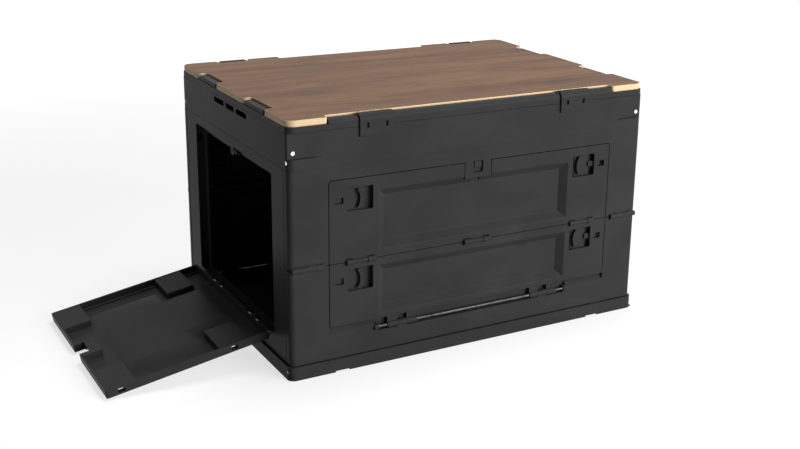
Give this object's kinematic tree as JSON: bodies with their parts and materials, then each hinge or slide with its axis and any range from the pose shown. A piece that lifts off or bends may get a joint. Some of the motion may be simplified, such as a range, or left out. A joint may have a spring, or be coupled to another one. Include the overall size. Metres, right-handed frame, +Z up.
{
  "type": "folding camp chuck box",
  "caption": "Folding crate with a wooden table-top lid, a two-leaf drop-down front door and a drop-down door in each end.",
  "frame": {"origin": "centre of the underside of the base, on the ground", "axes": "+Z up, +X along the length towards the end whose door is shut, -Y out of the front door"},
  "size_m": [0.8407, 0.434, 0.3732],
  "materials": {
    "black_plastic": "fine-grained black polypropylene",
    "steel": "bright plated rods, pins and screws",
    "table_board": "walnut-grained face over a pale plywood edge"
  },
  "bodies": {
    "shell": {"base_tray": "black_plastic", "front_wall_lower": "black_plastic", "front_wall_upper": "black_plastic", "back_wall_lower": "black_plastic", "back_wall_upper": "black_plastic", "left_end_wall": "black_plastic", "top_frame": "black_plastic", "front_base_rod": "steel", "back_base_rod": "steel", "front_top_rod": "steel", "back_top_rod": "steel", "front_fold_pins": "steel", "back_fold_pins": "steel", "left_swing_rod": "steel", "right_swing_rod": "steel", "front_drop_rod": "steel", "left_door_rod": "steel", "rear_hinge_left": "black_plastic", "rear_hinge_right": "black_plastic"},
    "lid": {"lid_frame": "black_plastic", "table_board": "table_board", "board_screws": "steel", "clip_pins": "steel", "rear_hinge_pins": "steel"},
    "clip_left": {"front_clip_left": "black_plastic"},
    "clip_right": {"front_clip_right": "black_plastic"},
    "door_lower": {"front_door_lower": "black_plastic", "leaf_pins": "steel"},
    "door_upper": {"front_door_upper": "black_plastic"},
    "lock_bolt": {"front_lock_bolt": "black_plastic"},
    "left_door": {"left_end_door": "black_plastic"},
    "left_button": {"left_turn_button": "black_plastic"},
    "right_end": {"right_end_wall": "black_plastic", "right_door_rod": "steel"},
    "right_door": {"right_end_door": "black_plastic"},
    "right_button": {"right_turn_button": "black_plastic"},
    "latch_upper_left": {"latch_upper_left": "black_plastic"},
    "latch_upper_right": {"latch_upper_right": "black_plastic"},
    "latch_lower_left": {"latch_lower_left": "black_plastic"},
    "latch_lower_right": {"latch_lower_right": "black_plastic"},
    "left_latch_upper_front": {"left_latch_upper_front": "black_plastic"},
    "left_latch_upper_back": {"left_latch_upper_back": "black_plastic"},
    "left_latch_lower_front": {"left_latch_lower_front": "black_plastic"},
    "left_latch_lower_back": {"left_latch_lower_back": "black_plastic"},
    "right_latch_upper_front": {"right_latch_upper_front": "black_plastic"},
    "right_latch_upper_back": {"right_latch_upper_back": "black_plastic"},
    "right_latch_lower_front": {"right_latch_lower_front": "black_plastic"},
    "right_latch_lower_back": {"right_latch_lower_back": "black_plastic"}
  },
  "joints": [
    {"name": "lid_hinge", "type": "hinge", "parent": "shell", "child": "lid", "pos_m": [0, 0.206, 0.3687], "axis": [-1, 0, 0], "range_deg": [0, 110]},
    {"name": "clip_left_hinge", "type": "hinge", "parent": "lid", "child": "clip_left", "pos_m": [-0.166, -0.206, 0.3687], "axis": [-1, 0, 0], "range_deg": [0, 135]},
    {"name": "clip_right_hinge", "type": "hinge", "parent": "lid", "child": "clip_right", "pos_m": [0.166, -0.206, 0.3687], "axis": [-1, 0, 0], "range_deg": [0, 135]},
    {"name": "front_door_drop", "type": "hinge", "parent": "shell", "child": "door_lower", "pos_m": [0, -0.211, 0.056], "axis": [-1, 0, 0], "range_deg": [-90, 0]},
    {"name": "front_door_fold", "type": "hinge", "parent": "door_lower", "child": "door_upper", "pos_m": [0, -0.213, 0.1623], "axis": [1, 0, 0], "range_deg": [0, 165]},
    {"name": "latch_upper_left_slide", "type": "slide", "parent": "door_upper", "child": "latch_upper_left", "axis": [-1, 0, 0], "range_m": [-0.009, 0.009]},
    {"name": "latch_upper_right_slide", "type": "slide", "parent": "door_upper", "child": "latch_upper_right", "axis": [1, 0, 0], "range_m": [0, 0.018]},
    {"name": "latch_lower_left_slide", "type": "slide", "parent": "door_lower", "child": "latch_lower_left", "axis": [-1, 0, 0], "range_m": [-0.009, 0.009]},
    {"name": "latch_lower_right_slide", "type": "slide", "parent": "door_lower", "child": "latch_lower_right", "axis": [1, 0, 0], "range_m": [0, 0.018]},
    {"name": "lock_bolt_slide", "type": "slide", "parent": "shell", "child": "lock_bolt", "axis": [0, 0, -1], "range_m": [0, 0.0065]},
    {"name": "left_door_hinge", "type": "hinge", "parent": "shell", "child": "left_door", "pos_m": [-0.297, 0, 0.0445], "axis": [0, 1, 0], "range_deg": [0, 100]},
    {"name": "left_button_turn", "type": "hinge", "parent": "shell", "child": "left_button", "pos_m": [-0.297, 0, 0.2815], "axis": [1, 0, 0], "range_deg": [0, 90]},
    {"name": "right_end_swing", "type": "hinge", "parent": "shell", "child": "right_end", "pos_m": [0.288, 0, 0.327], "axis": [0, -1, 0], "range_deg": [-88, 0]},
    {"name": "right_door_hinge", "type": "hinge", "parent": "right_end", "child": "right_door", "pos_m": [0.297, 0, 0.0445], "axis": [0, 1, 0], "range_deg": [0, 100]},
    {"name": "right_button_turn", "type": "hinge", "parent": "right_end", "child": "right_button", "pos_m": [0.297, 0, 0.2815], "axis": [1, 0, 0], "range_deg": [-90, 0]},
    {"name": "left_latch_upper_front_slide", "type": "slide", "parent": "left_door", "child": "left_latch_upper_front", "axis": [0, -1, 0], "range_m": [0, 0.018]},
    {"name": "left_latch_upper_back_slide", "type": "slide", "parent": "left_door", "child": "left_latch_upper_back", "axis": [0, 1, 0], "range_m": [0, 0.018]},
    {"name": "left_latch_lower_front_slide", "type": "slide", "parent": "left_door", "child": "left_latch_lower_front", "axis": [0, -1, 0], "range_m": [0, 0.018]},
    {"name": "left_latch_lower_back_slide", "type": "slide", "parent": "left_door", "child": "left_latch_lower_back", "axis": [0, 1, 0], "range_m": [0, 0.018]},
    {"name": "right_latch_upper_front_slide", "type": "slide", "parent": "right_door", "child": "right_latch_upper_front", "axis": [0, -1, 0], "range_m": [0, 0.018]},
    {"name": "right_latch_upper_back_slide", "type": "slide", "parent": "right_door", "child": "right_latch_upper_back", "axis": [0, 1, 0], "range_m": [0, 0.018]},
    {"name": "right_latch_lower_front_slide", "type": "slide", "parent": "right_door", "child": "right_latch_lower_front", "axis": [0, -1, 0], "range_m": [0, 0.018]},
    {"name": "right_latch_lower_back_slide", "type": "slide", "parent": "right_door", "child": "right_latch_lower_back", "axis": [0, 1, 0], "range_m": [0, 0.018]}
  ]
}
